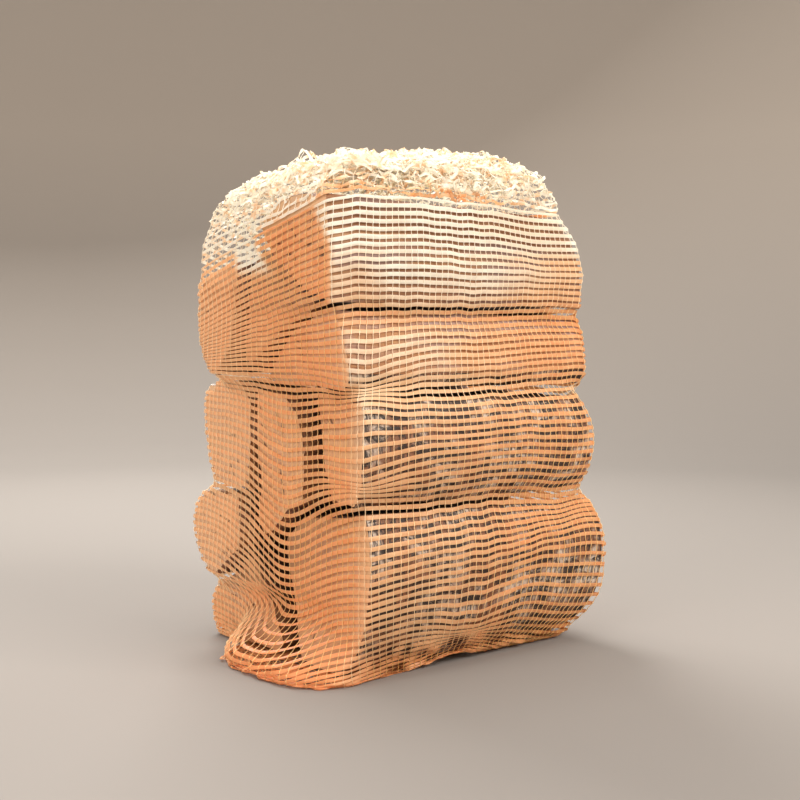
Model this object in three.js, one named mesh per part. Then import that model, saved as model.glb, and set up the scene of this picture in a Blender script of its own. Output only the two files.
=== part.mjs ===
// A net bag of split birch firewood that stands on its base. Ten splits of a stove's
// length lie along X in four courses, and one knitted net bag is drawn over them all.
// Millimetres, +Z up. The splits' sawn ends face -X and +X.
import * as THREE from "three";
import { mergeVertices } from "three/addons/utils/BufferGeometryUtils.js";

// ---------------------------------------------------------------- driving dimensions

const CUT_LENGTH = 300; // a stove length, as the saw is set
const PILE_TOP = 438; // highest point of the top split
const BASE_CLEAR = 2.6; // the lowest splits lie this far above the floor, on the net
const BAG_TOP = 485; // top of the crumpled net above the pile
const BAG_THICK = 1.8; // the net with its folds, pressed flat
const BAG_CLEAR = 1.2; // air between the net and the wood
const MOUTH_R = 9; // the drawn mouth, where the bag was closed

const LENGTH_STEPS = 6; // stations along a split
const BARK_POINTS = 3; // points on each stretch of a bark curve
const BAG_SIDES = 28; // directions round the bag

// ---------------------------------------------------------------- the splits
// Each split is given as it shows on its sawn end: [y, z] corners of the split faces in
// order, then the points that its bark runs through on the way back to the first corner.
// saw is the x of the near sawn end, slant how far that end leans along x over 100 mm of
// height, shrink the loss of section at the far end, and bow how far it bends in [y, z].
// far shapes the other end: over its extra length, lean how much longer its top edge is
// than its middle, dome how far its top and bottom edges stand back.

const SQUARE_END = { over: 0, lean: 0, dome: 0 };

const splits = {
  bottom_front_log: {
    corners: [[-136, 153], [-96, 148], [-38, 141], [-9, 118], [-12, 98], [-22, 72], [-30, 45],
      [-33, 18], [-42, 3.4], [-90, BASE_CLEAR]],
    bark: [[-118, 14], [-137, 44], [-145, 82], [-146, 120]],
    saw: -131, slant: 3, shrink: 0.05, bow: [-4, 0], far: { over: 4, lean: 3, dome: 19 },
    tone: 0xdcb68a,
  },
  bottom_back_log: {
    corners: [[98, BASE_CLEAR], [4, 3.2], [-8, 15], [3, 38], [15, 57], [29, 79], [47, 93], [69, 78]],
    bark: [[98, 61], [121, 48], [129, 30], [119, 11]],
    saw: -134, slant: -4, shrink: 0.04, bow: [4, 0], far: SQUARE_END,
    tone: 0xd2ab80,
  },
  lower_back_log: {
    corners: [[98, 68], [72, 84], [46, 104], [49, 129], [54, 154], [94, 156]],
    bark: [[128, 148], [142, 122], [134, 98], [117, 77]],
    saw: -148, slant: 5, shrink: 0.06, bow: [3, 1], far: SQUARE_END,
    tone: 0xd9b086,
  },
  standing_split: {
    corners: [[21, 259], [25, 220], [18, 164], [27, 132], [14, 116], [-1, 122], [-32, 148],
      [-56, 158], [-59, 185], [-61, 208], [-49, 242], [-25, 258]],
    bark: [],
    saw: -142, slant: -2, shrink: 0.03, bow: [0, 0], far: SQUARE_END,
    tone: 0xd6af82,
  },
  middle_front_log: {
    corners: [[-139, 254], [-71, 257], [-80, 218], [-86, 191], [-99, 163], [-132, 159]],
    bark: [[-142, 176], [-147, 206], [-145, 236]],
    saw: -137, slant: 4, shrink: 0.04, bow: [-5, 0], far: { over: -13, lean: -3, dome: 11 },
    tone: 0xcfa87c,
  },
  middle_back_log: {
    corners: [[99, 166], [35, 161], [31, 211], [32, 250], [56, 267], [112, 263]],
    bark: [[122, 245], [119, 216], [110, 184]],
    saw: -145, slant: 2, shrink: 0.05, bow: [4, 0], far: SQUARE_END,
    tone: 0xe0b790,
  },
  upper_front_log: {
    corners: [[-134, 282], [-130, 312], [-121, 334], [-84, 329], [-49, 317], [-29, 300],
      [-12, 286], [2, 271]],
    bark: [[-38, 265], [-96, 263], [-128, 266]],
    saw: -146, slant: -12, shrink: 0.05, bow: [-3, 0], far: SQUARE_END,
    tone: 0xe6c9a0,
  },
  upper_middle_log: {
    corners: [[29, 378], [9, 395], [-13, 390], [-47, 365], [-67, 350], [-86, 340], [-78, 332],
      [-50, 323], [-8, 302], [24, 284], [32, 292]],
    bark: [],
    saw: -147, slant: 6, shrink: 0.04, bow: [0, 0], far: SQUARE_END,
    tone: 0xdab387,
  },
  upper_back_log: {
    corners: [[83, 277], [72, 274], [44, 302], [39, 328], [36, 361], [35, 384], [66, 378]],
    bark: [[101, 369], [110, 340], [107, 316], [98, 294]],
    saw: -158, slant: 4, shrink: 0.06, bow: [4, 0], far: SQUARE_END,
    tone: 0xdfb78d,
  },
  top_log: {
    corners: [[-14, 414], [-20, 402], [-41, 382], [-65, 364], [-92, 351], [-128, 340],
      [-131, 376], [-122, 434]],
    bark: [[-84, PILE_TOP], [-48, 434]],
    saw: -160, slant: 0, shrink: 0.04, bow: [-2, 0], far: { over: 9, lean: -6, dome: 5 },
    tone: 0xe8cca4,
  },
};

// ---------------------------------------------------------------- the wood

function outlineOf({ corners, bark }) {
  const shape = new THREE.Shape();
  shape.moveTo(...corners[0]);
  corners.slice(1).forEach((corner) => shape.lineTo(...corner));
  if (bark.length)
    shape.splineThru([...bark, corners[0]].map((point) => new THREE.Vector2(...point)));
  return shape.closePath();
}

function withOutline([name, split]) {
  const outline = outlineOf(split);
  const section = new THREE.Box2().setFromPoints(outline.getPoints(BARK_POINTS));
  return { name, ...split, outline, section, centre: section.getCenter(new THREE.Vector2()) };
}

const logs = Object.entries(splits).map(withOutline);

// Where a point of the outline lies, a share s of the way along the split.
function place(log, y, z, s) {
  const rest = log.section.min.y; // the section shrinks towards what it rests on
  const near = log.saw + (log.slant * (z - log.centre.y)) / 100;
  const rise = (z - log.centre.y) / (log.centre.y - rest); // -1 at its lowest edge, 1 at its top
  const { over, lean, dome } = log.far;
  const far = log.saw + CUT_LENGTH + over + lean * rise - dome * rise * rise;
  const scale = 1 - log.shrink * s;
  const arc = Math.sin(Math.PI * s);
  return new THREE.Vector3(
    near + s * (far - near),
    log.centre.x + (y - log.centre.x) * scale + log.bow[0] * arc,
    rest + (z - rest) * scale + log.bow[1] * arc,
  );
}

function logGeometry(log) {
  const geometry = new THREE.ExtrudeGeometry(log.outline, {
    depth: 1,
    steps: LENGTH_STEPS,
    curveSegments: BARK_POINTS,
    bevelEnabled: false,
  });
  geometry.deleteAttribute("normal");
  geometry.deleteAttribute("uv");
  const position = geometry.getAttribute("position");
  for (let i = 0; i < position.count; i++) {
    const p = place(log, position.getX(i), position.getY(i), position.getZ(i));
    position.setXYZ(i, p.x, p.y, p.z);
  }
  return mergeVertices(geometry, 1e-3);
}

function makeLog(log) {
  const birch = new THREE.MeshStandardMaterial({ color: log.tone, roughness: 0.75, metalness: 0 });
  const mesh = new THREE.Mesh(logGeometry(log), birch);
  mesh.name = log.name;
  return mesh;
}

// ---------------------------------------------------------------- the net bag
// At each level the bag is the tightest convex band round all the wood near that level,
// so it narrows where two courses meet. Gathered ears of net lie at its base.

const WRAP_SPACING = 90; // points round each outline that the band must clear
const SIDE_STEP = 17; // spacing of the bag's levels up the pile
const SLACK_TOP = 90; // over this height below the top of the pile the net hangs straight
const SHOULDER = PILE_TOP + 2; // the crumpled top starts to close in here
const CROWN = [[449, 0.94], [459, 0.87], [468, 0.8], [477, 0.7], [483, 0.55], [BAG_TOP, 0.34]];
const HEM = 3; // rounding of the bag's lower edge

const ears = [
  { x: -186, ys: [-78, 8], zs: [0, 10] },
  { x: -174, ys: [-104, 56], zs: [0, 22] },
  { x: 178, ys: [-92, 20], zs: [0, 26] },
];

function wrapPoints() {
  const points = [];
  for (const log of logs)
    for (const p of log.outline.getSpacedPoints(WRAP_SPACING))
      for (const s of [0, 0.5, 1]) points.push(place(log, p.x, p.y, s));
  for (const ear of ears)
    for (const y of ear.ys) for (const z of ear.zs) points.push(new THREE.Vector3(ear.x, y, z));
  return points;
}

const directions = Array.from({ length: BAG_SIDES }, (_, j) => {
  const angle = (j / BAG_SIDES) * 2 * Math.PI;
  return new THREE.Vector2(Math.cos(angle), Math.sin(angle));
});

// How far the wood between two heights reaches in each direction.
function reachBetween(points, low, high) {
  const near = points.filter((p) => p.z >= low && p.z <= high);
  return directions.map((d) => Math.max(...near.map((p) => p.x * d.x + p.y * d.y)));
}

// The corners, at height z, of the polygon whose sides stand at the given reaches.
function band(z, reach, grow) {
  return reach.map((h, j) => {
    const next = (j + 1) % BAG_SIDES;
    const [a, b] = [directions[j], directions[next]];
    const [ha, hb] = [h + grow, reach[next] + grow];
    const turn = a.x * b.y - a.y * b.x;
    return new THREE.Vector3((ha * b.y - hb * a.y) / turn, (hb * a.x - ha * b.x) / turn, z);
  });
}

const meanOf = (corners) =>
  corners.reduce((sum, corner) => sum.add(corner), new THREE.Vector3()).divideScalar(corners.length);

function bagSides() {
  const points = wrapPoints();
  const slack = reachBetween(points, PILE_TOP - SLACK_TOP, PILE_TOP);
  const sides = [];
  for (let z = 0; z < PILE_TOP - SIDE_STEP / 2; z += SIDE_STEP) {
    const wood = reachBetween(points, z - SIDE_STEP, z + SIDE_STEP);
    const share = THREE.MathUtils.smoothstep(z, PILE_TOP - SLACK_TOP, PILE_TOP - SLACK_TOP / 2);
    sides.push({ z, reach: wood.map((h, j) => h + share * Math.max(0, slack[j] - h)) });
  }
  sides.push({ z: SHOULDER, reach: slack.map((h, j) => Math.max(h, sides.at(-1).reach[j])) });
  return sides;
}

// The bag's skin from the middle of its base, up the outside, in at the mouth and back
// down the inside.
function bagLevels() {
  const [base, ...sides] = bagSides();
  const full = sides.at(-1).reach;
  const middle = meanOf(band(0, full, 0));
  const middleReach = directions.map((d) => middle.x * d.x + middle.y * d.y);
  const shrunk = (share) => full.map((h, j) => middleReach[j] * (1 - share) + h * share);
  const mouth = middleReach.map((h) => h + MOUTH_R);
  const inside = BAG_CLEAR;
  const outside = BAG_CLEAR + BAG_THICK;
  return [
    band(0, mouth, 0),
    band(0, base.reach, outside - HEM),
    band(HEM, base.reach, outside),
    ...sides.map(({ z, reach }) => band(z, reach, outside)),
    ...CROWN.map(([z, share]) => band(z, shrunk(share), outside)),
    band(BAG_TOP, mouth, 0),
    band(PILE_TOP + 4, mouth, 0),
    ...sides.map(({ z, reach }) => band(z, reach, inside)).reverse(),
    band(BAG_THICK, base.reach, inside),
    band(BAG_THICK, mouth, 0),
  ];
}

function bagGeometry() {
  const levels = bagLevels();
  const vertices = levels.flat();
  const index = [];
  const at = (i, j) => i * BAG_SIDES + (j % BAG_SIDES);
  const spread = (a, b) => vertices[a].clone().add(vertices[b]).setZ(0).length();
  for (let i = 0; i < levels.length - 1; i++)
    for (let j = 0; j < BAG_SIDES; j++) {
      const [a, b, c, d] = [at(i, j), at(i, j + 1), at(i + 1, j + 1), at(i + 1, j)];
      if (spread(a, c) > spread(b, d)) index.push(a, b, c, a, c, d);
      else index.push(a, b, d, b, c, d); // each panel is split so that it bulges outwards
    }
  for (const [i, step] of [[0, 1], [levels.length - 1, 0]]) {
    const middle = vertices.push(meanOf(levels[i])) - 1;
    for (let j = 0; j < BAG_SIDES; j++) index.push(middle, at(i, j + step), at(i, j + 1 - step));
  }
  return new THREE.BufferGeometry().setFromPoints(vertices).setIndex(index);
}

function makeBag() {
  const netting = new THREE.MeshStandardMaterial({ color: 0xf2a468, roughness: 0.6, metalness: 0 });
  const bag = new THREE.Mesh(bagGeometry(), netting);
  bag.name = "net_bag";
  return bag;
}

// ---------------------------------------------------------------- the bundle

const bundle = new THREE.Group();
bundle.name = "firewood_bundle";
bundle.add(...logs.map(makeLog), makeBag());
const middle = new THREE.Box3().setFromObject(bundle).getCenter(new THREE.Vector3());
bundle.position.set(-middle.x, -middle.y, 0);

export default bundle;
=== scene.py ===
"""A net bag of split birch firewood: ten split logs and the knitted net drawn over them.

Metres throughout. The logs lie along X, and the stack stands on z = 0.
"""

import functools
import itertools
import math

import bpy
import numpy as np
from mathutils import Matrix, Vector
from mathutils.bvhtree import BVHTree
from mathutils.geometry import convex_hull_2d


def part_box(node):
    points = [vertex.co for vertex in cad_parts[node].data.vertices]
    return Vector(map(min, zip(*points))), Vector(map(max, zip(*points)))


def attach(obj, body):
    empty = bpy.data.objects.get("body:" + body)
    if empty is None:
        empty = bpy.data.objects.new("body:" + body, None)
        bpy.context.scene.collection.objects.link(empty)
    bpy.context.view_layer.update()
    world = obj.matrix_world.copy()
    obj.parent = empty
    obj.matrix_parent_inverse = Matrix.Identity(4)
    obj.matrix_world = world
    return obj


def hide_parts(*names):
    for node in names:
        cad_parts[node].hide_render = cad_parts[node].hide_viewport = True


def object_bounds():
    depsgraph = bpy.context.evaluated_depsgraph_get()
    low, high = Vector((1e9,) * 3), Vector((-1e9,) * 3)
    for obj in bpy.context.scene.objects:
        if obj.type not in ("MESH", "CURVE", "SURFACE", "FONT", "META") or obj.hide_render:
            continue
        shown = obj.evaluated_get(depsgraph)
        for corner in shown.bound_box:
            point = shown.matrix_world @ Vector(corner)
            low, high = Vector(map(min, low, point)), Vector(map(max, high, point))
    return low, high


bl_info = {
    "name": "Firewood bundle",
    "version": (1, 0, 0),
    "blender": (4, 5, 0),
    "location": "3D View > Sidebar > Firewood",
    "description": "Builds split birch logs and the knitted net bag that holds them",
    "category": "Add Mesh",
}

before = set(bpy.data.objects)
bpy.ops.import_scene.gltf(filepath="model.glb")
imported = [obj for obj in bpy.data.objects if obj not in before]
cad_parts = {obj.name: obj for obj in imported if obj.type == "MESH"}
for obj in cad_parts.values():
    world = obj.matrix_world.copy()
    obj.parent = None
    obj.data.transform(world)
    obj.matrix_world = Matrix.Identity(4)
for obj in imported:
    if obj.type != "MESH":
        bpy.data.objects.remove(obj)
CAD_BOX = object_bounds()
BAG = "net_bag"
LOGS = [name for name in sorted(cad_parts) if name != BAG]
MM = 0.001


# ---------------------------------------------------------------- settings


class FirewoodWood(bpy.types.PropertyGroup):
    """Sizes and colours of the split logs."""

    spacing: bpy.props.FloatProperty(
        name="Mesh spacing",
        description="Distance between mesh points round a log",
        default=2.4 * MM,
        unit="LENGTH",
    )
    relief: bpy.props.FloatProperty(
        name="Split relief",
        description="Depth of the torn ledges on a split face",
        default=1.8 * MM,
        unit="LENGTH",
    )
    sapwood: bpy.props.FloatVectorProperty(
        name="Sapwood", description="Pale outer wood", default=(0.72, 0.43, 0.21), subtype="COLOR"
    )
    heartwood: bpy.props.FloatVectorProperty(
        name="Heartwood",
        description="Browner inner wood",
        default=(0.42, 0.2, 0.085),
        subtype="COLOR",
    )
    weathered: bpy.props.FloatVectorProperty(
        name="Weathered wood",
        description="Grey bloom on dried faces",
        default=(0.44, 0.33, 0.3),
        subtype="COLOR",
    )
    bark: bpy.props.FloatVectorProperty(
        name="Bark", description="Papery birch bark", default=(0.6, 0.5, 0.4), subtype="COLOR"
    )


class FirewoodNet(bpy.types.PropertyGroup):
    """Sizes and colours of the knitted net."""

    tape_width: bpy.props.FloatProperty(
        name="Tape width", description="Width of a flat tape", default=3.9 * MM, unit="LENGTH"
    )
    tape_pitch: bpy.props.FloatProperty(
        name="Tape pitch", description="Distance between tapes", default=6.9 * MM, unit="LENGTH"
    )
    thread_pitch: bpy.props.FloatProperty(
        name="Thread pitch", description="Distance between threads", default=8 * MM, unit="LENGTH"
    )
    thread_radius: bpy.props.FloatProperty(
        name="Thread radius",
        description="Radius of a knitted thread",
        default=0.42 * MM,
        unit="LENGTH",
    )
    clearance: bpy.props.FloatProperty(
        name="Clearance", description="Tape centre above the wood", default=1.6 * MM, unit="LENGTH"
    )
    tape: bpy.props.FloatVectorProperty(
        name="Tape", description="Orange film tape", default=(0.94, 0.46, 0.2), subtype="COLOR"
    )
    tape_deep: bpy.props.FloatVectorProperty(
        name="Deep tape",
        description="Denser orange film",
        default=(0.9, 0.34, 0.12),
        subtype="COLOR",
    )
    # Painted light: the ochre that the tape is painted where it is half pale from light falling on
    # it or coming through it.
    tape_ochre: bpy.props.FloatVectorProperty(
        name="Half lit tape",
        description="Half lit film",
        default=(0.97, 0.62, 0.34),
        subtype="COLOR",
    )
    tape_pale: bpy.props.FloatVectorProperty(
        name="Slack tape",
        description="Tape where light comes through it from behind",
        default=(1.0, 0.95, 0.8),
        subtype="COLOR",
    )
    thread: bpy.props.FloatVectorProperty(
        name="Thread",
        description="Yellow orange thread",
        default=(0.9, 0.46, 0.12),
        subtype="COLOR",
    )


class FirewoodStage(bpy.types.PropertyGroup):
    """The floor, the wall and the camera."""

    floor: bpy.props.FloatVectorProperty(
        name="Floor", description="Pale floor", default=(0.238, 0.215, 0.194), subtype="COLOR"
    )
    wall: bpy.props.FloatVectorProperty(
        name="Wall",
        description="Pale wall behind it",
        default=(0.366, 0.317, 0.269),
        subtype="COLOR",
    )
    lens: bpy.props.FloatProperty(
        name="Focal length", description="Focal length of the camera in millimetres", default=54.3
    )


# ---------------------------------------------------------------- shared helpers


def noise(points, size, seed):
    """Smooth noise from -1 to 1 at points, with lumps of the given size along each axis."""
    place = np.asarray(points, float) / np.asarray(size, float) + 311.7
    cell = np.floor(place).astype(np.int64)
    part = place - cell
    part = part * part * (3 - 2 * part)
    total = np.zeros(place.shape[:-1])
    for corner in itertools.product((0, 1), repeat=3):
        weight = np.prod(np.where(corner, part, 1 - part), axis=-1)
        x, y, z = np.moveaxis(cell + corner, -1, 0)
        mixed = (x * 73856093) ^ (y * 19349663) ^ (z * 83492791) ^ (seed * 2654435761)
        mixed = (mixed ^ (mixed >> 13)) * 1274126177 & 0x7FFFFFFF
        mixed = (mixed ^ (mixed >> 15)) & 0xFFFF
        total += weight * (mixed / 32767.5 - 1)
    return total


def smooth(low, high, value):
    """Rises smoothly from 0 at low to 1 at high; low may be the larger."""
    share = np.clip((value - low) / (high - low), 0, 1)
    return share * share * (3 - 2 * share)


def directions(angles):
    """Flat vectors 1 long that point at the given angles."""
    return np.stack([np.cos(angles), np.sin(angles)], axis=-1)


def new_object(name, vertices, faces, materials, slots=None):
    """A smooth-shaded mesh object; slots gives the material of each face."""
    mesh = bpy.data.meshes.new(name)
    mesh.from_pydata(vertices.tolist(), [], faces)
    for material in materials:
        mesh.materials.append(material)
    if slots is not None:
        mesh.polygons.foreach_set("material_index", slots)
    mesh.polygons.foreach_set("use_smooth", [True] * len(mesh.polygons))
    made = bpy.data.objects.new(name, mesh)
    bpy.context.scene.collection.objects.link(made)
    return made


def store(mesh, name, values):
    """Keeps one number for each point of the mesh, for its material to read."""
    layer = mesh.attributes.new(name, "FLOAT", "POINT")
    layer.data.foreach_set("value", np.asarray(values, np.float32).ravel())


def tree_of(*nodes):
    """A tree for ray casts and distances to the named solids of the frame."""
    vertices, faces = [], []
    for name in nodes:
        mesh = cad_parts[name].data
        first = len(vertices)
        vertices += [v.co.copy() for v in mesh.vertices]
        faces += [[first + i for i in p.vertices] for p in mesh.polygons]
    return BVHTree.FromPolygons(vertices, faces)


# ---------------------------------------------------------------- material helpers


class Shading:
    """A material's node tree, with its nodes added one line each."""

    def __init__(self, name):
        self.material = bpy.data.materials.new(name)
        self.material.use_nodes = True
        self.tree = self.material.node_tree
        self.shader = self.tree.nodes["Principled BSDF"]
        self.output = self.tree.nodes["Material Output"]

    def add(self, kind, inputs=(), **settings):
        node = self.tree.nodes.new(kind)
        for key, value in settings.items():
            setattr(node, key, value)
        for key, value in dict(inputs).items():
            self.put(node.inputs[key], value)
        return node

    def put(self, socket, value):
        if isinstance(value, bpy.types.NodeSocket):
            self.tree.links.new(value, socket)
        else:
            socket.default_value = value

    def position(self):
        return self.add("ShaderNodeTexCoord").outputs["Object"]

    def attribute(self, name):
        return self.add("ShaderNodeAttribute", attribute_name=name).outputs["Fac"]

    def math(self, operation, a, b=0.0, clamp=False):
        inputs = {0: a, 1: b}
        return self.add("ShaderNodeMath", inputs, operation=operation, use_clamp=clamp).outputs[0]

    def clouds(self, scale, detail, rough=0.55, distortion=0.0, turn=(0, 0, 0)):
        """Cloudy noise, turned and then scaled by three numbers."""
        inputs = {"Vector": self.position(), "Rotation": turn, "Scale": scale}
        place = self.add("ShaderNodeMapping", inputs).outputs["Vector"]
        inputs = {"Vector": place, "Scale": 1.0, "Detail": detail, "Roughness": rough}
        node = self.add("ShaderNodeTexNoise", {**inputs, "Distortion": distortion})
        return node.outputs["Fac"]

    def ramp(self, value, *stops):
        """Maps a number to a colour or, with plain numbers as stops, to a number."""
        node = self.add("ShaderNodeValToRGB", {"Fac": value})
        elements = node.color_ramp.elements
        while len(elements) < len(stops):
            elements.new(0.5)
        for element, (at, colour) in zip(elements, stops):
            element.position = at
            shade = (colour,) * 3 if isinstance(colour, (int, float)) else tuple(colour)
            element.color = (*shade[:3], 1)
        return node.outputs["Color"]

    def mix(self, share, a, b, blend="MIX"):
        node = self.add("ShaderNodeMix", data_type="RGBA", blend_type=blend)
        self.put(node.inputs["Factor"], share)
        for socket, value in ((node.inputs[6], a), (node.inputs[7], b)):
            self.put(socket, value if isinstance(value, bpy.types.NodeSocket) else (*value[:3], 1))
        return node.outputs[2]

    def shaded(self, colour):
        """The colour with painted shade: dark where the wood is tucked in between other logs."""
        share = self.math("MULTIPLY", self.attribute("tucked"), 0.93)
        return self.mix(share, colour, (0.03, 0.014, 0.008))

    def finished(self, colour, roughness, height=None, distance=0.0, strength=0.0):
        """The material, with its colour, its roughness and the bumps of its surface."""
        self.put(self.shader.inputs["Base Color"], colour)
        self.put(self.shader.inputs["Roughness"], roughness)
        if height is not None:
            inputs = {"Height": height, "Distance": distance, "Strength": strength}
            bump = self.add("ShaderNodeBump", inputs).outputs["Normal"]
            self.put(self.shader.inputs["Normal"], bump)
        return self.material


# ---------------------------------------------------------------- wood materials


def split_face_material(wood):
    """The torn long faces: fibres along X, brown streaks and a grey bloom."""
    made = Shading("split_face")
    fibres = made.clouds((14, 420, 420), 5.0, 0.62, 0.3)
    streaks = made.clouds((4, 60, 60), 4.0, 0.6, 0.6)
    patches = made.clouds((9, 26, 26), 3.0, 0.55)
    tone = made.attribute("tone")
    colour = made.mix(made.ramp(streaks, (0.3, 0.2), (0.56, 1)), wood.sapwood, wood.heartwood)
    colour = made.mix(made.ramp(patches, (0.48, 0), (0.62, 0.85)), colour, wood.weathered)
    shades = (0.3, (0.52, 0.4, 0.32)), (0.52, (1, 1, 1)), (0.75, (1.0, 0.97, 0.9))
    grain = made.ramp(fibres, *shades)
    colour = made.mix(0.85, colour, grain, "MULTIPLY")
    colour = made.mix(made.math("SUBTRACT", 0.62, tone, True), colour, (0.13, 0.05, 0.03))
    ledges = made.clouds((22, 150, 150), 6.0, 0.7)
    height = made.math("ADD", made.math("MULTIPLY", fibres, 0.6), ledges)
    return made.finished(made.shaded(colour), 0.72, height, 1.6 * MM, 0.9)


def sawn_end_material(wood):
    """The sawn ends: growth rings about the pith, drying cracks and saw marks."""
    made = Shading("sawn_end")
    wander = made.clouds((1, 30, 30), 2.0)
    depth = made.math("ADD", made.attribute("from_pith"), made.math("MULTIPLY", wander, 0.02))
    cycle = made.math("FRACT", made.math("MULTIPLY", depth, 330.0))
    rings = made.ramp(cycle, (0.0, 0.25), (0.55, 0.0), (0.9, 1.0), (1.0, 0.25))
    rays = made.clouds((1, 90, 90), 4.0)
    stain = made.clouds((1, 18, 18), 4.0, 0.6)
    colour = made.mix(made.ramp(stain, (0.42, 0), (0.75, 0.45)), wood.sapwood, wood.weathered)
    colour = made.mix(made.math("MULTIPLY", rings, 0.35), colour, wood.heartwood)
    colour = made.mix(0.5, colour, made.ramp(rays, (0.3, 0.72), (0.6, 1.0)), "MULTIPLY")
    crack = made.ramp(made.attribute("crack"), (0.0, 0), (1.0, 1.0))
    colour = made.mix(crack, colour, (0.08, 0.04, 0.02))
    paler = made.math("MULTIPLY", made.attribute("tone"), 0.25)
    colour = made.mix(paler, colour, (1.0, 0.9, 0.76))
    marks = made.clouds((1, 40, 700), 2.0, turn=(0.5, 0, 0))
    height = made.math("ADD", made.math("MULTIPLY", marks, 0.5), made.math("MULTIPLY", rings, 0.3))
    height = made.math("SUBTRACT", height, made.math("MULTIPLY", crack, 3.0))
    return made.finished(made.shaded(colour), 0.85, height, 0.5 * MM, 0.7)


def bark_material(wood):
    """Birch bark: papery, with dark lenticels across it, scars and peeled tan patches."""
    made = Shading("birch_bark")
    lenticels = made.clouds((520, 60, 60), 3.0, 0.55)
    scars = made.clouds((38, 60, 60), 5.0, 0.7, 0.8)
    peel = made.clouds((26, 22, 22), 4.0, 0.6)
    colour = made.mix(made.ramp(peel, (0.42, 0), (0.54, 1)), wood.bark, (0.24, 0.105, 0.05))
    colour = made.mix(made.ramp(lenticels, (0.52, 0), (0.6, 0.9)), colour, (0.05, 0.028, 0.02))
    colour = made.mix(made.ramp(scars, (0.47, 0), (0.55, 0.95)), colour, (0.022, 0.014, 0.011))
    height = made.math("SUBTRACT", made.math("MULTIPLY", peel, 0.8), lenticels)
    height = made.math("ADD", height, made.math("MULTIPLY", scars, 1.6))
    return made.finished(made.shaded(colour), 0.6, height, 1.5 * MM, 0.8)


# ---------------------------------------------------------------- the logs
# pith is where the tree's middle lay, as [y, z] in shares of the log's box from its centre,
# bark the two directions, in degrees from +Y, that its bark lies between, and tone how
# pale its wood is.

GROWTH = {
    "bottom_front_log": {"pith": (0.9, 0.5), "bark": (128, 292), "tone": 0.25},
    "bottom_back_log": {"pith": (-0.7, -0.8), "bark": (-42, 62), "tone": 0.2},
    "lower_back_log": {"pith": (-1.1, 0.2), "bark": (-68, 52), "tone": 0.35},
    "standing_split": {"pith": (0.4, 0.9), "bark": (0, 0), "tone": 0.2},
    "middle_front_log": {"pith": (1.6, 0.1), "bark": (118, 246), "tone": 0.1},
    "middle_back_log": {"pith": (-1.2, 0.2), "bark": (-62, 62), "tone": 0.45},
    "upper_front_log": {"pith": (0.4, 1.3), "bark": (196, 338), "tone": 0.55},
    "upper_middle_log": {"pith": (-0.9, 0.6), "bark": (0, 0), "tone": 0.3},
    "upper_back_log": {"pith": (-1.2, 0.1), "bark": (-80, 62), "tone": 0.5},
    "top_log": {"pith": (-0.9, -0.9), "bark": (28, 118), "tone": 0.2},
}
SPLIT, SAWN, BARKED = 0, 1, 2  # material slots of a log
LOG_STATIONS = 54  # sections along a log
PROUD = 0.5 * MM  # the most that the torn surface stands out
SUNK = 0.15 * MM  # how far the torn surface lies inside the solid on average
CHIP_DEPTH = 2.5 * MM  # bites out of the edge of a sawn end
WORN_FROM = 0.375  # above this height the far end is rounded off
WORN_RADIUS = 0.066
WORN_FOOT = 0.076  # radius that rounds off the front foot of the far end
WORN_GAP = 2 * MM  # how far inside the net the rounded wood stays
FAR_END = 0.17  # about where the far end lies along X
END_DEPTHS = {-1: 0.011, 1: 0.028}  # how far back from its furthest point an end may lie
CAP_SHARES = (0.985, 0.94, 0.87, 0.78, 0.67, 0.54, 0.4, 0.26, 0.13, 0.0)
CRACKS = 16  # drying cracks in a sawn end
FINE_TURN = 720
TURN = np.arange(FINE_TURN) * 2 * math.pi / FINE_TURN  # the angles a section is measured at


def worn_end(y, z):
    """How far along X the wood reaches: its far end is rounded off at the top and front foot."""
    above = np.clip((z - WORN_FROM) / WORN_RADIUS, 0, 1)
    below = np.clip((WORN_FOOT - z) / WORN_FOOT, 0, 1) * smooth(0.03, -0.05, y)
    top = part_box("top_log")[1].x - WORN_RADIUS * (1 - np.sqrt(1 - above**2))
    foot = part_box("bottom_front_log")[1].x - WORN_FOOT * (1 - np.sqrt(1 - below**2))
    return np.where(above > 0, top, np.where(below > 0, foot, CAD_BOX[1][0]))


def painted_tuck_shade(places):
    """Painted shade: how deep in the shade between other logs each place is, for the wood to be
    painted darker there.
    """
    reach = taut_band().at(np.arctan2(places[:, 1], places[:, 0]) % (2 * math.pi), places[:, 2])
    depth = reach - np.hypot(places[:, 0], places[:, 1])
    return smooth(5 * MM, 24 * MM, np.minimum(depth, SIDE_TOP + 5 * MM - places[:, 2]))


def measured_log(tree, name):
    """The log's section as a distance from its centre line in each direction, along X."""
    low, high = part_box(name)
    centre = np.array([(low.y + high.y) / 2, (low.z + high.z) / 2])
    xs = np.linspace(low.x + 0.035, high.x - 0.04, 5)
    reach = np.empty((len(xs), FINE_TURN))
    for i, x in enumerate(xs):
        start = Vector((x, *centre))
        for j, facing in enumerate(directions(TURN)):
            hit = tree.ray_cast(start, Vector((0, *facing)))
            if hit[0] is None:
                raise RuntimeError(f"{name} is open at x = {x:.3f}")
            reach[i, j] = hit[3]
    powers = np.linalg.pinv(np.stack([xs**0, xs, xs**2], axis=1)) @ reach
    return centre, powers, reach[2]


def even_angles(reach, spacing, multiple=1):
    """Angles that split a section's outline into even lengths, in a multiple."""
    outline = directions(TURN) * reach[:, None]
    steps = np.linalg.norm(np.roll(outline, -1, axis=0) - outline, axis=1)
    length = np.concatenate([[0], np.cumsum(steps)])
    count = int(round(length[-1] / spacing / multiple)) * multiple
    wanted = np.arange(count) * length[-1] / count
    return np.interp(wanted, length, np.append(TURN, 2 * math.pi))


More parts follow.
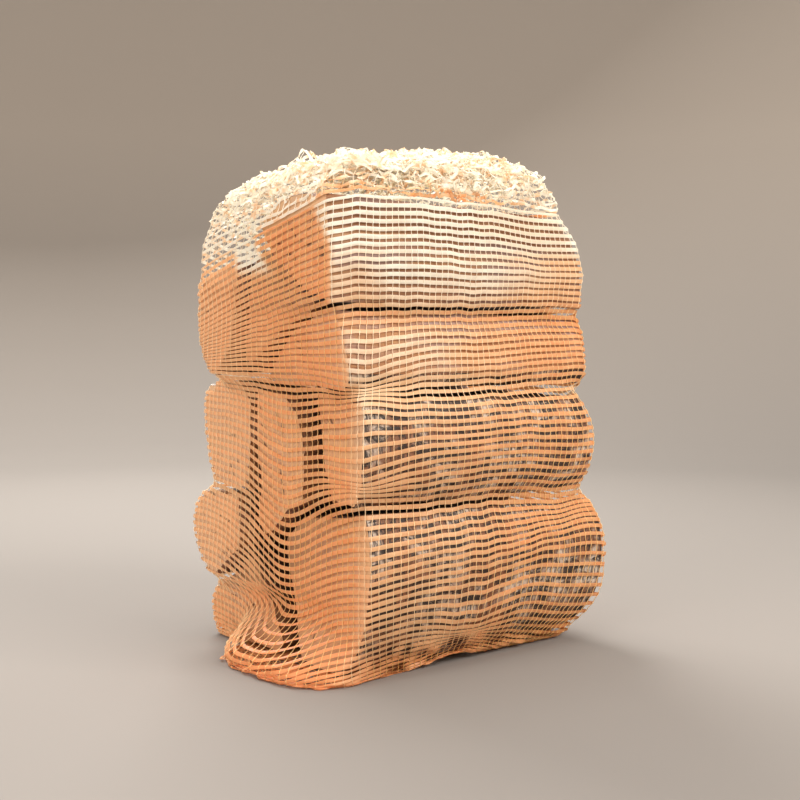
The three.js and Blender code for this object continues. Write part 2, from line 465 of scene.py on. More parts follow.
def end_depths(tree, extreme, points, side):
    """The x of the sawn end, to one side, in front of each [y, z] point of a ring.

    A point just off the end's edge takes its place from the points beside it.
    """
    found = np.full(len(points), np.nan)
    for i, (y, z) in enumerate(points):
        hit = tree.ray_cast(Vector((2 * extreme, y, z)), Vector((-side, 0, 0)))[0]
        if hit is not None and abs(hit.x - extreme) < END_DEPTHS[side]:
            found[i] = hit.x
    around = np.arange(len(points))
    good = ~np.isnan(found)
    return np.interp(around, around[good], found[good], period=len(points))


def torn_reach(skin, reach, barked, share, wood, seed):
    """The reach of the skin with its torn ledges or bark, and chips at the sawn edges."""
    torn = noise(skin, (0.11, 5.5 * MM, 5.5 * MM), seed)
    ledge = smooth(-0.1, 0.12, noise(skin, (0.16, 16 * MM, 16 * MM), seed + 1))
    wave = noise(skin, (0.09, 35 * MM, 35 * MM), seed + 2)
    rough = noise(skin, (7 * MM, 9 * MM, 9 * MM), seed + 3)
    split = wood.relief * (0.3 * torn - 0.7 * (ledge - 0.4) + 0.3 * wave)
    bark = wood.relief * (0.4 * wave + 0.3 * rough)
    reach = reach + np.minimum(np.where(barked, bark, split) - SUNK, PROUD)
    chipped = smooth(0.35, 0.8, noise(skin, (0.02, 9 * MM, 9 * MM), seed + 4))
    near_end = np.minimum(share, 1 - share)[:, None]
    return reach - chipped * (1 - smooth(0, 0.02, near_end)) * CHIP_DEPTH


def cap_rings(tree, edge, centre, extreme, side, seed):
    """Rings of points across a sawn end, from just inside its edge to its middle."""
    for share in CAP_SHARES:
        ring = np.empty((len(edge) if share else 1, 3))
        ring[:, 1:] = (centre + (edge[:, 1:] - centre) * share)[: len(ring)]
        ring[:, 0] = end_depths(tree, extreme, ring[:, 1:], side)
        ring[:, 0] -= side * 0.25 * MM * (1 + noise(ring, (1, 0.05, 2.5 * MM), seed + 5))
        if side > 0:
            ring[:, 0] = np.minimum(ring[:, 0], worn_end(ring[:, 1], ring[:, 2]) - WORN_GAP)
        yield ring


def ring_faces(outer, inner, side):
    """The faces from one ring of point numbers to the next, which may be a single point."""
    quad = [outer, inner, np.roll(inner, -1), np.roll(outer, -1)]
    if side > 0:
        quad.reverse()
    corners = np.stack(quad, axis=1)
    if inner[0] == inner[-1]:
        corners = corners[:, [0, 2, 3] if side > 0 else [0, 1, 3]]
    return corners.tolist()


def log_mesh(name, wood, seed):
    """A log's points, its faces with their material slots, and the middle of its section."""
    tree = tree_of(name)
    centre, powers, section = measured_log(tree, name)
    angles = even_angles(section, wood.spacing)
    count = len(angles)
    facing = directions(angles)
    fitted = np.stack([np.interp(angles, TURN, row, period=2 * math.pi) for row in powers])
    extremes = {-1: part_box(name)[0].x, 1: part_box(name)[1].x}

    def reach_at(x):
        """Distance to the skin in each direction; x holds one number for each."""
        return fitted[0] + fitted[1] * x + fitted[2] * x * x

    ends = {}
    for side, x in extremes.items():
        inner = centre + facing * (reach_at(np.full(count, x)) * 0.97)[:, None]
        ends[side] = end_depths(tree, x, inner, side)
        if side > 0:
            ends[side] = np.minimum(ends[side], worn_end(*inner.T) - WORN_GAP)
    share = np.linspace(0, 1, LOG_STATIONS)
    share = np.concatenate([[0, 0.005], share[1:-1], [0.995, 1]])
    xs = ends[-1] + share[:, None] * (ends[1] - ends[-1])
    reach = np.stack([reach_at(row) for row in xs])
    reach[[0, -1]] -= 1.0 * MM
    skin = np.concatenate([xs[..., None], centre + facing * reach[..., None]], axis=2)

    start, stop = GROWTH[name]["bark"]
    swept = (np.degrees(angles) - start) % 360
    barked = swept < (stop - start) % 360 if start != stop else np.zeros(count, bool)
    reach = torn_reach(skin, reach, barked, share, wood, seed)
    skin[..., 1:] = centre + facing * reach[..., None]

    rings = np.arange(skin[..., 0].size).reshape(-1, count)
    faces = [face for pair in zip(rings, rings[1:]) for face in ring_faces(*pair, -1)]
    slots = np.where(barked, BARKED, SPLIT).tolist() * (len(rings) - 1)
    vertices = [skin.reshape(-1, 3)]
    total = rings.size
    for side, row in ((-1, 0), (1, -1)):
        outer = rings[row]
        for ring in cap_rings(tree, skin[row], centre, extremes[side], side, seed):
            inner = total + np.arange(count) % len(ring)
            faces += ring_faces(outer, inner, side)
            slots += [SAWN] * count
            vertices.append(ring)
            total += len(ring)
            outer = inner
    return np.concatenate(vertices), faces, slots, centre


def cracks(offset, reach, seed):
    """How deep in a drying crack each point of a sawn end lies; the cracks run from the pith."""
    angle = np.arctan2(offset[:, 1], offset[:, 0])
    far = np.linalg.norm(offset, axis=1)
    rng = np.random.default_rng(seed)
    total = np.zeros(len(offset))
    for _ in range(CRACKS):
        at, start = rng.uniform(-math.pi, math.pi), rng.uniform(0.1, 0.75) * reach
        length, width = rng.uniform(0.12, 0.4) * reach, rng.uniform(0.35, 0.8) * MM
        off = np.abs((angle - at + math.pi) % (2 * math.pi) - math.pi) * far
        along = (far - start) / length
        taper = np.clip(1 - np.abs(2 * along - 1), 0, 1)
        total = np.maximum(total, np.clip(1.6 - off / (width + 1e-9), 0, 1) * (taper > 0))
    return total


def make_log(name, wood, materials, seed):
    """One log, with the numbers that its materials read at each of its points."""
    vertices, faces, slots, centre = log_mesh(name, wood, seed)
    piece = new_object(f"{name}_wood", vertices, faces, materials, slots)
    low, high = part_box(name)
    growth = GROWTH[name]
    half = np.array([high.y - low.y, high.z - low.z]) / 2
    pith = centre + half * growth["pith"]
    offset = vertices[:, 1:] - pith
    far = np.linalg.norm(offset, axis=1)
    store(piece.data, "from_pith", far)
    store(piece.data, "crack", cracks(offset, far.max(), seed))
    store(piece.data, "tone", np.full(len(vertices), growth["tone"]))
    # painted shade: how far each point is tucked in between other logs, for its materials to paint
    # it darker
    store(piece.data, "tucked", painted_tuck_shade(vertices))
    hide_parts(name)
    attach(piece, "root")


class FIREWOOD_OT_logs(bpy.types.Operator):
    """Build the ten split logs, with torn faces, sawn ends and birch bark"""

    bl_idname = "firewood.logs"
    bl_label = "Split logs"

    def execute(self, context):
        wood = context.scene.firewood_wood
        materials = [split_face_material(wood), sawn_end_material(wood), bark_material(wood)]
        for seed, name in enumerate(LOGS):
            make_log(name, wood, materials, 40 + 10 * seed)
        return {"FINISHED"}


# ---------------------------------------------------------------- the net's shape
# The net is a tube of tapes (rows) and threads (columns). Its points are worked out as
# rows of places round the stack: under the base, up the sides and over the crown.

LEVEL_STEP = 2 * MM  # height between the levels that the taut band is measured at
SLACK_FROM = 0.372  # above this height nothing but the top log holds the net out
SLACK_TAPER = 0.05  # share by which the slack net narrows up to SIDE_TOP
SIDE_TOP = 0.436  # above this height the net folds over
NOTCH_ROUNDING = 0.016  # radius that the net keeps where it bridges two courses
NO_WOOD = 0.02  # reach at a height where no wood stands all round the middle
WAIST = 0.2  # height at which the threads are an even step apart
FLOOR_GAP = 1.1 * MM  # tape centre above the floor
FOOT_SLACK = 0.034  # spare net that bunches up round the foot
FOOT_FADE = 0.032  # length over which the bunching fades out
BASE_ROWS = 13
CROWN_ROWS = 30
FOLDED_ROWS = 24  # rows of the crown that are turned back over the others
MOUTH_SHARE = 0.96  # how far to the middle the crown runs before it is turned back
FOLDED_SHARE = 0.78  # how much of that way the folded rows run back
CROWN_TOP = 0.479
CROWN_RISE = 13 * MM  # how much higher the crown is towards the far end
FOLD_LIFT = 5 * MM  # how far the folded rows lie above the others
CROWN_STEPS = 80
CRUMPLES = ((24 * MM, 5 * MM), (9 * MM, 4.2 * MM), (5 * MM, 2.8 * MM))  # size and strength
SIDE_SAMPLES = 2  # mesh points for each thread pitch along a tape
CROWN_SAMPLES = 4
TUFT = (-0.13, -0.042, 13 * MM)  # where the knotted tip of the net stands up, and how high

# The ear of net at the near foot: direction and half width in degrees, how far along X,
# and between which heights it tapers off.
EAR = (190, 29, 0.186, 8 * MM, 54 * MM)

# More spare net at two corners of the foot: direction, half width and how much.
CORNER_SLACK = ((322, 26, 0.028), (190, 26, 0.042))

# How the rows run off level. The slack net at the back left is lifted low down and drops
# at the top, the rows swell over the foot of the far end, and they climb along the front.
BACK_LIFT = 12 * MM
BACK_DROP = 76 * MM
FAR_SWELL = (0.075, 0.05, 26 * MM)  # height, half width and rise
FRONT_CLIMB = 0.045
PINCH_PULL = 0.72
PINCH_SPREAD = 0.034
TUCKED_FOOT = 12 * MM  # how far the front foot of the net is drawn in under the log

# Places where the rows of tape are drawn together, and how far round them that shows.
PINCHES = (
    ((-0.148, -0.145, 0.262), 0.055),
    ((-0.155, -0.14, 0.177), 0.06),
    ((-0.01, -0.15, 0.03), 0.05),
)


class Band:
    """How far the taut net stands from the stack's middle, by height and direction."""

    def __init__(self):
        self.heights = np.arange(4 * MM, SIDE_TOP + 8 * MM, LEVEL_STEP)
        edges = np.concatenate([mesh_edges(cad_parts[name].data) for name in LOGS])
        taut = np.stack([self.round_level(edges, z) for z in self.heights])
        self.reach = self.bridged(taut)

    def round_level(self, edges, z):
        """The tightest convex band round everything cut at height z, if it is all round."""
        points = cut_points(edges, z)
        if z > SLACK_FROM:
            share = 1 - SLACK_TAPER * (z - SLACK_FROM) / (SIDE_TOP - SLACK_FROM)
            points = np.concatenate([points, cut_points(edges, SLACK_FROM) * share])
        hull = points[convex_hull_2d([Vector(p) for p in points])]
        angle = np.arctan2(hull[:, 1], hull[:, 0]) % (2 * math.pi)
        hull = hull[np.argsort(angle)]
        angle = np.sort(angle)
        after = np.searchsorted(angle, TURN) % len(hull)
        start, stop = hull[after - 1], hull[after]
        along = stop - start
        facing = directions(TURN)
        if cross(start, along).min() <= 0:
            return np.full(FINE_TURN, NO_WOOD)
        reach = cross(start, along) / cross(facing, along)
        forward = np.maximum(facing[:, 0], 0.01)
        return np.minimum(reach, worn_end(FAR_END * facing[:, 1] / forward, z) / forward)

    def bridged(self, taut):
        """Rounds the notches between courses, as threads in tension do."""
        gap = (self.heights[:, None] - self.heights[None]) ** 2 / (2 * NOTCH_ROUNDING)
        widened = np.stack([(taut - column[:, None]).max(0) for column in gap])
        return np.stack([(widened + column[:, None]).min(0) for column in gap])

    def at(self, angle, z):
        """The reach in the given directions and at the given heights."""
        column = np.asarray(angle) / (2 * math.pi) * FINE_TURN
        row = np.clip((z - self.heights[0]) / LEVEL_STEP, 0, len(self.heights) - 1.001)
        j, i = np.floor(column).astype(int), np.floor(row).astype(int)
        u, v = column - j, row - i
        j, k = j % FINE_TURN, (j + 1) % FINE_TURN
        low = self.reach[i, j] * (1 - u) + self.reach[i, k] * u
        high = self.reach[i + 1, j] * (1 - u) + self.reach[i + 1, k] * u
        return low * (1 - v) + high * v


@functools.cache
def taut_band():
    """The band, worked out once: the net follows it, and the painted shade on the logs is worked
    out from it.
    """
    return Band()


def cut_points(edges, z):
    """Where the edges pass through height z, as [x, y]."""
    a, b = edges[:, 0], edges[:, 1]
    crossing = (a[:, 2] - z) * (b[:, 2] - z) < 0
    a, b = a[crossing], b[crossing]
    share = ((z - a[:, 2]) / (b[:, 2] - a[:, 2]))[:, None]
    return (a + (b - a) * share)[:, :2]


def cross(a, b):
    """The cross product of flat vectors."""
    return a[..., 0] * b[..., 1] - a[..., 1] * b[..., 0]


def mesh_edges(mesh):
    """Both ends of every edge of a mesh, as an array of pairs of places."""
    places = np.empty(len(mesh.vertices) * 3)
    mesh.vertices.foreach_get("co", places)
    ends = np.empty(len(mesh.edges) * 2, int)
    mesh.edges.foreach_get("vertices", ends)
    return places.reshape(-1, 3)[ends.reshape(-1, 2)]


def lobe(angle, middle, width, power=2):
    """A smooth bump round one direction, both in degrees; a higher power flattens its top."""
    off = (np.degrees(angle) - middle + 180) % 360 - 180
    return np.exp(-(np.abs(off / width) ** power))


class Columns:
    """Directions round the bag, an even step apart along a tape at the bag's waist.

    back_left is how far each one belongs to the slack side at the back left, and tucked
    how far to the front foot, where the net is drawn in under the log.
    """

    def __init__(self, net, band, samples):
        self.band = band
        waist = band.at(TURN, WAIST)
        self.angle = even_angles(waist, net.thread_pitch / samples, samples)
        self.facing = np.pad(directions(self.angle), ((0, 0), (0, 1)))
        reach = band.at(self.angle, WAIST)
        self.x, self.y = (self.facing[:, :2] * reach[:, None]).T
        self.back_left = np.clip((self.y + 0.13) / 0.26, 0, 1) * (1 - smooth(-0.1, 0.12, self.x))
        self.tucked = smooth(-0.06, 0.0, self.x) * smooth(-0.02, -0.08, self.y)

    def along(self, length):
        """A place for each point of each row on the net as knitted, for its noise."""
        return self.facing * 0.15 + np.asarray(length)[:, None, None] * (0, 0, 1)


def side_heights(columns, length, along):
    """How high each row stands, when drawn and slack places have shifted it."""
    x, y = columns.x, columns.y
    spare = FOOT_SLACK
    for middle, width, more in CORNER_SLACK:
        spare = spare + more * lobe(columns.angle, middle, width)
    z = length - spare * (1 - np.exp(-length / FOOT_FADE))
    z = z + (spare - FOOT_SLACK) * smooth(0.05, 0.25, z)
    lifted, dropped = smooth(0.02, 0.08, z), smooth(0.23, 0.4, z)
    right = smooth(0.0, 0.16, x) * smooth(0.06, -0.1, y)
    front = smooth(-0.1, -0.13, y)
    z = z + columns.back_left * (BACK_LIFT * lifted - BACK_DROP * dropped)
    height, width, rise = FAR_SWELL
    z = z + right * rise * np.exp(-(((z - height) / width) ** 2))
    z = z + front * (x + 0.15) * FRONT_CLIMB * lifted * (1 - dropped)
    for (px, py, pz), width in PINCHES:
        near = np.exp(-((x - px) ** 2 + (y - py) ** 2) / width**2)
        z = z - PINCH_PULL * near * (z - pz) * np.exp(-(((z - pz) / PINCH_SPREAD) ** 2))
    wander = 2.4 * MM * noise(along, (70 * MM, 70 * MM, 60 * MM), 1)
    wander += 1.0 * MM * noise(along, (17 * MM, 17 * MM, 40 * MM), 2)
    return np.maximum(z + wander * smooth(0, 0.05, length), FLOOR_GAP + 0.05 * length)


def with_ear(angle, reach, z, along):
    """The reach, with the gathered ear of net at the foot of the stack."""
    middle, width, far, low, high = EAR
    folds = noise(along, (9 * MM, 9 * MM, 14 * MM), 7)
    edge = (far + 5 * MM * folds) / np.maximum(np.abs(np.cos(angle)), 0.5)
    share = lobe(angle, middle, width, 4) * (1 - smooth(low, high, z))
    return reach + share * np.maximum(edge - reach, 0)


def bunching(length):
    """How bunched up the net is, by the length of net above the foot."""
    return 1 - smooth(0.015, 0.08, length)


def side_points(net, columns, lengths):
    """The rows up the sides, each a given length of net above the foot."""
    along = columns.along(lengths)
    length = np.asarray(lengths)[:, None]
    z = side_heights(columns, length, along)
    reach = columns.band.at(columns.angle, z) + net.clearance
    reach = with_ear(columns.angle, reach, z, along)
    reach += 0.5 * MM * noise(along, 20 * MM, 4)
    folds = 0.6 + noise(along, (9 * MM, 9 * MM, 8 * MM), 8)
    reach += bunching(length) * 2.8 * MM * folds * (1 - 0.7 * columns.tucked)
    loose = smooth(0.33, 0.39, z) * columns.back_left
    reach += loose * 6 * MM * (1 + 0.5 * noise(along, 30 * MM, 5))
    reach -= (3 * MM + TUCKED_FOOT * columns.tucked) * (1 - smooth(0, 7 * MM, z))
    points = columns.facing * reach[..., None]
    points[..., 2] = z
    return points


def base_points(net, columns, lengths):
    """Under the stack the net lies flat and runs to a seam along X."""
    along = columns.along(lengths)
    share = -np.asarray(lengths)[:, None] / (BASE_ROWS * net.tape_pitch)
    z = np.full((1, len(columns.angle)), FLOOR_GAP)
    reach = with_ear(columns.angle, columns.band.at(columns.angle, z), z, along) - 2 * MM
    reach -= TUCKED_FOOT * columns.tucked
    points = columns.facing * reach[..., None]
    points[..., 0] *= 1 - 0.22 * share
    points[..., 1] *= 1 - 0.97 * share
    points[..., 2] = FLOOR_GAP + 0.3 * MM * noise(along, 12 * MM, 3)
    return points


def crown_points(net, columns, side_length):
    """Above the stack the slack net domes over, gathers at its mouth and is turned back."""
    rim = side_points(net, columns, [side_length])[0]
    bend = np.linspace(0, math.pi / 2, CROWN_STEPS)[:, None]
    radius = np.linalg.norm(rim[:, :2], axis=1)
    right = smooth(-0.1, 0.14, columns.x)
    top = CROWN_TOP + CROWN_RISE * right
    out = radius * np.cos(bend) ** (0.55 + 0.15 * right)
    high = rim[:, 2] + (top - rim[:, 2]) * np.sin(bend) ** 0.9
    steps = np.hypot(np.diff(out, axis=0), np.diff(high, axis=0))
    run = np.concatenate([np.zeros((1, len(radius))), np.cumsum(steps, axis=0)])
    run /= run[-1]
    inward = np.arange(1, CROWN_ROWS + 1) / CROWN_ROWS * MOUTH_SHARE
    back = MOUTH_SHARE - np.arange(1, FOLDED_ROWS + 1) / FOLDED_ROWS * FOLDED_SHARE
    share = np.concatenate([inward, back])
    lift = np.concatenate([np.zeros(CROWN_ROWS), np.full(FOLDED_ROWS, FOLD_LIFT)])
    points = np.empty((len(share), len(radius), 3))
    for j, column in enumerate(run.T):
        points[:, j, :2] = columns.facing[j, :2] * np.interp(share, column, out[:, j])[:, None]
        points[:, j, 2] = np.interp(share, column, high[:, j]) + lift
    along = columns.along(side_length + net.tape_pitch * np.arange(1, len(share) + 1))
    tidy = 0.06 + 0.42 * columns.back_left
    crumple = smooth(0, 1, share[:, None] / tidy)
    crumple[CROWN_ROWS:] = 1
    for axis in range(3):
        for octave, (size, strength) in enumerate(CRUMPLES):
            points[..., axis] += crumple * strength * noise(along, size, 20 + 3 * axis + octave)
    x, y, rise = TUFT
    near = ((points[..., 0] - x) ** 2 + (points[..., 1] - y) ** 2) / (12 * MM) ** 2
    points[..., 2] += rise * np.exp(-near) * crumple
    return points, crumple


def kept_off_wood(points, tree, clearance, outward):
    """Moves each point that is too close to the wood outward until it is clear."""
    for _ in range(3):
        for index in np.ndindex(points.shape[:2]):
            distance = tree.find_nearest(Vector(points[index]))[3]
            if distance < clearance:
                points[index] += outward[index[1]] * (clearance - distance)
    return points


def laid_on_wood(points, tree, clearance):
    """Lifts each point of the crown that would be in the wood under it."""
    for point in points.reshape(-1, 3):
        below = tree.ray_cast(Vector((point[0], point[1], 1)), Vector((0, 0, -1)))[0]
        if below is not None:
            point[2] = max(point[2], below.z + clearance)
    return points


# ---------------------------------------------------------------- the net's meshes


def unit(vectors):
    """The vectors, each made 1 long."""
    return vectors / np.maximum(np.linalg.norm(vectors, axis=-1, keepdims=True), 1e-9)


def tape_frames(points):
    """Along, across and outward directions at each point of the net, and the row spacing."""
    along = unit(np.roll(points, -1, axis=1) - np.roll(points, 1, axis=1))
    padded = np.concatenate([points[:1], points, points[-1:]])
    step = padded[2:] - padded[:-2]
    across = unit(step - (step * along).sum(-1, keepdims=True) * along)
    outward = np.cross(along, across)
    return along, across, outward, np.linalg.norm(step, axis=-1) / 2


def tape_mesh(width, points, curl, crowding):
    """Each tape is a strip three points wide, twisted where the net is crumpled.

    Tapes fold narrower where they are drawn closer than crowding allows.
    """
    _, across, outward, spacing = tape_frames(points)
    rows, count = points.shape[:2]
    where = points + (0, 0, 2)
    wide = width * (1 + 0.16 * noise(where, (30 * MM, 30 * MM, 7 * MM), 50))
    wide = np.minimum(wide, np.maximum(spacing * crowding, 0.25 * width))
    crowd = np.clip(width / np.maximum(spacing, 1e-4) - 1, 0, 1.2)
    tilt = 0.4 * crowd + 0.25 * noise(where, 12 * MM, 51) + curl * 2.6 * noise(where, 11 * MM, 53)
    lean = across * np.cos(tilt)[..., None] - outward * np.sin(tilt)[..., None]
    half = (wide / 2)[..., None]
    arch = 0.3 * MM * (1 + noise(where, 16 * MM, 52))[..., None]
    strips = [points - lean * half, points + outward * arch, points + lean * half]
    strips = np.stack(strips, axis=2)
    vertex = np.arange(rows * count * 3).reshape(rows, count, 3)
    ahead = np.roll(vertex, -1, axis=1)
    faces = [
        np.stack([vertex[..., k], ahead[..., k], ahead[..., k + 1], vertex[..., k + 1]], axis=-1)
        for k in (0, 1)
    ]
    return strips.reshape(-1, 3), np.concatenate([f.reshape(-1, 4) for f in faces]).tolist()


def thread_mesh(radius, points, samples):
    """Each knitted thread lies over the tapes, thicker where it loops round one."""
    along, _, outward, _ = tape_frames(points)
    on_tape = (points + outward * 0.65 * MM)[:, ::samples]
    between = (points[1:] + points[:-1]) / 2 - outward[1:] * 0.1 * MM
    between = between[:, ::samples]
    rows, count = on_tape.shape[:2]
    path = np.empty((2 * rows - 1, count, 3))
    path[::2], path[1::2] = on_tape, between
    sway = noise(path + (0, 0, 4), (12 * MM, 12 * MM, 6 * MM), 60)[..., None]
    side = np.repeat(along[:, ::samples], 2, axis=0)[: len(path)]
    out = np.repeat(outward[:, ::samples], 2, axis=0)[: len(path)]
    path += side * sway * 0.5 * MM
    thick = np.full((len(path), 1, 1), radius * 0.8)
    thick[::2] = radius * 1.25
    turns = np.radians((90, 210, 330))
    ring = [path + thick * (side * math.cos(t) + out * math.sin(t)) for t in turns]
    vertices = np.stack(ring, axis=2)
    vertex = np.arange(vertices.size // 3).reshape(vertices.shape[:3])
    faces = []
    for k in range(3):
        a, b = vertex[:-1, :, k], vertex[:-1, :, (k + 1) % 3]
        c, d = vertex[1:, :, (k + 1) % 3], vertex[1:, :, k]
        faces.append(np.stack([a, d, c, b], axis=-1).reshape(-1, 4))
    return vertices.reshape(-1, 3), np.concatenate(faces).tolist()


THROUGH = 0.35  # share of the light that the film lets through
CROWN_TAPE_WIDTH = 0.8  # crumpled tapes are folded to this share of their width
SIDE_CROWDING, CROWN_CROWDING = 0.72, 2


def painted_light_paleness(places):
    """Painted light: how pale the net is painted on the side that faces the key light, most of all
    towards the top, and on the left end, more so towards the back.
    """
    x, y, z = places.T
    front = smooth(-0.118, -0.134, y - 0.025 * smooth(0.38, 0.43, z))
    high, higher = smooth(0.2, 0.36, z), smooth(0.3, 0.36, z)
    fading = 1 - (0.7 - 0.6 * higher) * smooth(-0.08, 0.08, x)
    cloudy = 1 + 0.25 * noise(places, 50 * MM, 70)
    end = smooth(-0.12, -0.14, x) * (0.08 + 0.34 * smooth(-0.05, 0.12, y))
    return np.clip(front * (0.32 + 0.78 * high) * fading * cloudy + end, 0, 1)


def gathered(places):
    """How closely the net is bunched up at the corners of its foot."""
    angle = np.arctan2(places[:, 1], places[:, 0])
    corners = np.maximum(lobe(angle, 200, 34, 4), 0.8 * lobe(angle, 322, 14, 4))
    return corners * smooth(0.08, 0.035, places[:, 2])


def see_through(places, tree):
    """How much light comes through the net from behind, where no wood backs it."""
    gap = np.array([tree.find_nearest(Vector(place))[3] for place in places])
    angle = np.arctan2(places[:, 1], places[:, 0])
    edges = np.maximum(lobe(angle, 140, 11), 0.7 * lobe(angle, 323, 9))
    edges = edges * smooth(0.05, 0.07, places[:, 2])
    above = smooth(0.36, 0.38, places[:, 2])
    return np.maximum(smooth(6 * MM, 17 * MM, gap) * above, smooth(4 * MM, 9 * MM, gap) * edges)


def tape_material(net):
    """Film tape: orange, denser in places, and painted ochre and then nearly white as painted
    light, where light falls on it or comes through it.
    """
    made = Shading("net_tape")
    patches = made.clouds((60, 60, 160), 4.0)
    dense = made.math("MAXIMUM", made.ramp(patches, (0.35, 0), (0.7, 1)), made.attribute("dense"))
    deep = made.mix(dense, net.tape, net.tape_deep)
    # pale is painted light: ochre, then nearly white, where light falls on the tape or comes
    # through it
    pale = made.attribute("pale")
    colour = made.mix(made.ramp(pale, (0, 0), (0.6, 1)), deep, net.tape_ochre)
    colour = made.mix(made.ramp(pale, (0.5, 0), (1, 1)), colour, net.tape_pale)
    ribs = made.clouds((40, 40, 1400), 2.0)
    glow = made.add("ShaderNodeBsdfTranslucent", {"Color": colour})
    shaders = {0: THROUGH, 1: made.shader.outputs[0], 2: glow.outputs[0]}
    both = made.add("ShaderNodeMixShader", shaders)
    made.put(made.output.inputs["Surface"], both.outputs[0])
    return made.finished(colour, 0.42, ribs, 0.15 * MM, 0.5)


def thread_material(net):
    """Twisted thread, yellower than the tape, and painted paler with it where light falls on the
    net or comes through it.
    """
    made = Shading("net_thread")
    twist = made.clouds((300, 300, 300), 3.0)
    orange = made.mix(made.ramp(twist, (0.3, 0), (0.7, 1)), net.thread, (0.95, 0.6, 0.25))
    # painted light: the thread takes the tape's pale colour as far as the pale attribute says
    share = made.math("MULTIPLY", made.attribute("pale"), 0.9)
    colour = made.mix(share, orange, net.tape_pale)
    return made.finished(colour, 0.55, twist, 0.2 * MM, 0.6)


def net_piece(name, mesh, material, pale):
    """A piece of the net, with how pale it is painted by light and how dense it is at each of its
    points.
    """
    vertices, faces = mesh
    piece = new_object(name, vertices, faces, [material])
    # painted light: how pale the light falling on or through the net paints each point
    store(piece.data, "pale", pale(vertices))
    store(piece.data, "dense", gathered(vertices))
    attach(piece, "root")
    return piece


class FIREWOOD_OT_net(bpy.types.Operator):
    """Build the knitted net bag, its flat tapes and the threads that tie them"""

    bl_idname = "firewood.net"
    bl_label = "Net bag"

    def execute(self, context):
        net = context.scene.firewood_net
        tree = tree_of(*LOGS)
        side_length = SIDE_TOP + FOOT_SLACK
        sides = Columns(net, taut_band(), SIDE_SAMPLES)
        under = net.tape_pitch * np.arange(-BASE_ROWS, 0)
        above = np.arange(0, side_length + 1e-6, net.tape_pitch)
        side_length = above[-1]
        walls = side_points(net, sides, above)
        walls = kept_off_wood(walls, tree, net.clearance, sides.facing)
        bag = np.concatenate([base_points(net, sides, under), walls])
        crown_columns = Columns(net, taut_band(), CROWN_SAMPLES)
        crown, crumple = crown_points(net, crown_columns, side_length)
        crown = laid_on_wood(crown, tree, net.clearance)

        # Painted light: paler where light falls on the net's lit side and where light comes
        # through it from behind.
        def pale_side(places):
            return np.maximum(painted_light_paleness(places), see_through(places, tree))

        # Painted light: the crown is painted nearly white, as light that comes through it from
        # behind, flecked with orange specks and less pale along its low front rim.
        def pale_crown(places):
            specks = smooth(0.1, 0.5, noise(places, 6 * MM, 71))
            rim = smooth(0.452, 0.44, places[:, 2]) * smooth(-0.1, -0.13, places[:, 1])
            return 1 - 0.42 * specks - 0.8 * rim * smooth(0.08, 0.0, places[:, 0])

        tape, thread = tape_material(net), thread_material(net)
        width, radius = net.tape_width, net.thread_radius
        curl = 0.5 * bunching(np.concatenate([under, above]))[:, None]
        tapes = tape_mesh(width, bag, curl, SIDE_CROWDING)
        tapes = net_piece("net_tapes", tapes, tape, pale_side)
        threads = thread_mesh(radius, bag, SIDE_SAMPLES)
        threads = net_piece("net_threads", threads, thread, pale_side)
        curls = tape_mesh(width * CROWN_TAPE_WIDTH, crown, crumple, CROWN_CROWDING)
        curls = net_piece("crown_tapes", curls, tape, pale_crown)
        loops = thread_mesh(radius, crown, CROWN_SAMPLES)
        loops = net_piece("crown_threads", loops, thread, pale_crown)
        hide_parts(BAG)
        return {"FINISHED"}


# ---------------------------------------------------------------- the stage


class FIREWOOD_OT_stage(bpy.types.Operator):
    """Build the pale floor and wall, the lights and the camera"""

    bl_idname = "firewood.stage"
    bl_label = "Stage"

    def execute(self, context):
        settings = context.scene.firewood_stage
        make_floor(settings)
        make_lights()
        make_camera(settings)
        context.scene.view_settings.view_transform = "Standard"
        return {"FINISHED"}


FLOOR_RADIUS = 1.8
WALL_BEND = 1.2  # radius of the curve from the floor up into the wall
WALL_TOP = (3.1, 3.6)  # radius and height


def make_floor(settings):
    """A floor that curves up into a wall all round, far enough off for any view."""
    profile = [(FLOOR_RADIUS, 0)]
    for bend in np.linspace(0.1, 1.5, 10):
        radius = FLOOR_RADIUS + WALL_BEND * math.sin(bend)
        profile.append((radius, WALL_BEND - WALL_BEND * math.cos(bend)))
    profile.append(WALL_TOP)
    sides = 64
    vertices = [(0, 0, 0)]
    for radius, height in profile:
        for j in range(sides):
            angle = 2 * math.pi * j / sides
            vertices.append((radius * math.cos(angle), radius * math.sin(angle), height))
    faces = [(0, 1 + j, 1 + (j + 1) % sides) for j in range(sides)]
    for i in range(len(profile) - 1):
        a, b = 1 + i * sides, 1 + (i + 1) * sides
        faces += [(a + j, b + j, b + (j + 1) % sides, a + (j + 1) % sides) for j in range(sides)]
    made = Shading("studio_floor")
    height = made.add("ShaderNodeSeparateXYZ", {"Vector": made.position()}).outputs["Z"]
    colour = made.mix(made.ramp(height, (0.0, 0), (1.0, 1)), settings.floor, settings.wall)
    floor = new_object("studio_floor", np.array(vertices), faces, [made.finished(colour, 0.9)])


def make_light(name, place, target, size, power, colour):
    """A rectangular area light that faces its target."""
    light = bpy.data.lights.new(name, "AREA")
    light.shape = "RECTANGLE"
    light.size, light.size_y = size
    light.energy = power
    light.color = colour
    lamp = bpy.data.objects.new(name, light)
    lamp.location = place
    lamp.rotation_euler = (Vector(target) - Vector(place)).to_track_quat("-Z", "Y").to_euler()
    bpy.context.scene.collection.objects.link(lamp)


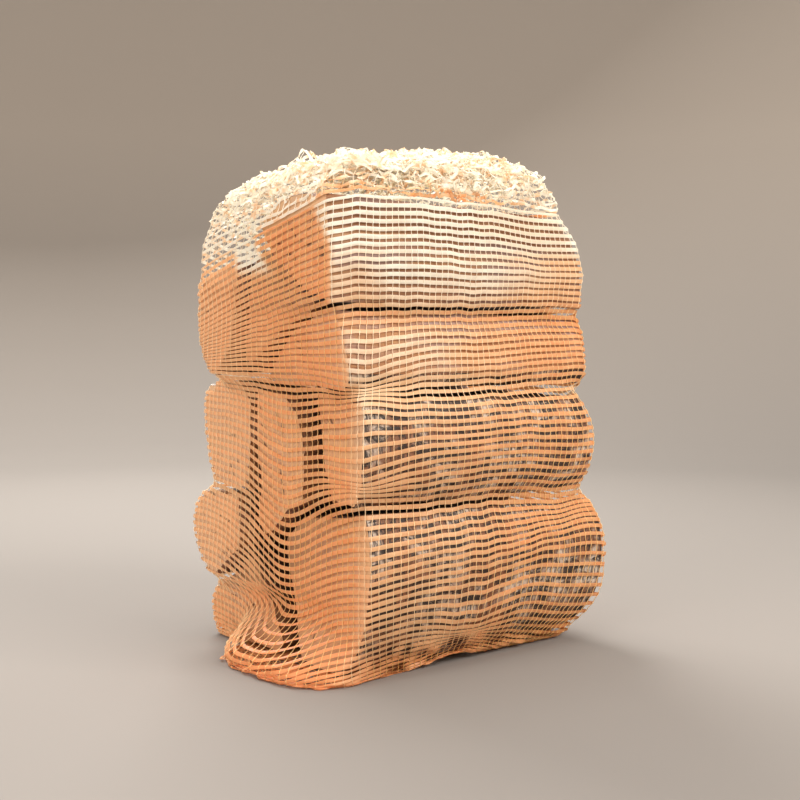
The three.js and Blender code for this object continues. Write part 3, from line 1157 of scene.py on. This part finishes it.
def make_lights():
    """Four soft lights and an even glow from all round."""
    aim = (0, 0, 0.25)
    make_light("key", (0.6, -1.9, 1.5), aim, (1.2, 1.2), 52, (1.0, 0.97, 0.93))
    make_light("left_fill", (-2.2, -0.5, 0.9), aim, (1.6, 1.4), 35, (1.0, 0.93, 0.88))
    make_light("back_light", (0.4, 1.8, 1.9), (0, 0, 0.45), (1.6, 1.0), 90, (1.0, 0.98, 0.95))
    make_light("top_light", (0, 0, 2.6), (0, 0, 0), (1.6, 1.6), 30, (1.0, 0.99, 0.97))
    world = bpy.data.worlds.new("studio_air")
    world.use_nodes = True
    background = world.node_tree.nodes["Background"]
    background.inputs["Color"].default_value = (1.0, 0.97, 0.94, 1)
    background.inputs["Strength"].default_value = 0.72
    bpy.context.scene.world = world


def make_camera(settings):
    """The camera, a little above the middle of the stack and facing its near corner."""
    camera = bpy.data.objects.new("camera", bpy.data.cameras.new("camera"))
    camera.data.lens = settings.lens
    camera.data.sensor_width = 36
    camera.location = (-0.7524, -0.9848, 0.303)
    camera.rotation_euler = (math.radians(87.4), 0, math.radians(-38))
    bpy.context.scene.collection.objects.link(camera)
    bpy.context.scene.camera = camera


# ---------------------------------------------------------------- the add-on


class FIREWOOD_PT_bundle(bpy.types.Panel):
    """Lists the bundle's pieces and their settings"""

    bl_label = "Firewood bundle"
    bl_idname = "FIREWOOD_PT_bundle"
    bl_space_type = "VIEW_3D"
    bl_region_type = "UI"
    bl_category = "Firewood"

    def draw(self, context):
        for operator in OPERATORS:
            self.layout.operator(operator.bl_idname)
        for name in SETTINGS:
            settings = getattr(context.scene, name)
            box = self.layout.box()
            for key in settings.__annotations__:
                box.prop(settings, key)


OPERATORS = (FIREWOOD_OT_stage, FIREWOOD_OT_logs, FIREWOOD_OT_net)
SETTINGS = {
    "firewood_wood": FirewoodWood,
    "firewood_net": FirewoodNet,
    "firewood_stage": FirewoodStage,
}


def register():
    for cls in (*SETTINGS.values(), *OPERATORS, FIREWOOD_PT_bundle):
        bpy.utils.register_class(cls)
    for key, cls in SETTINGS.items():
        setattr(bpy.types.Scene, key, bpy.props.PointerProperty(type=cls))


def unregister():
    for key in SETTINGS:
        delattr(bpy.types.Scene, key)
    for cls in (FIREWOOD_PT_bundle, *OPERATORS, *SETTINGS.values()):
        bpy.utils.unregister_class(cls)


def main():
    register()
    bpy.ops.firewood.stage()
    bpy.ops.firewood.logs()
    bpy.ops.firewood.net()


if __name__ == "__main__":
    main()
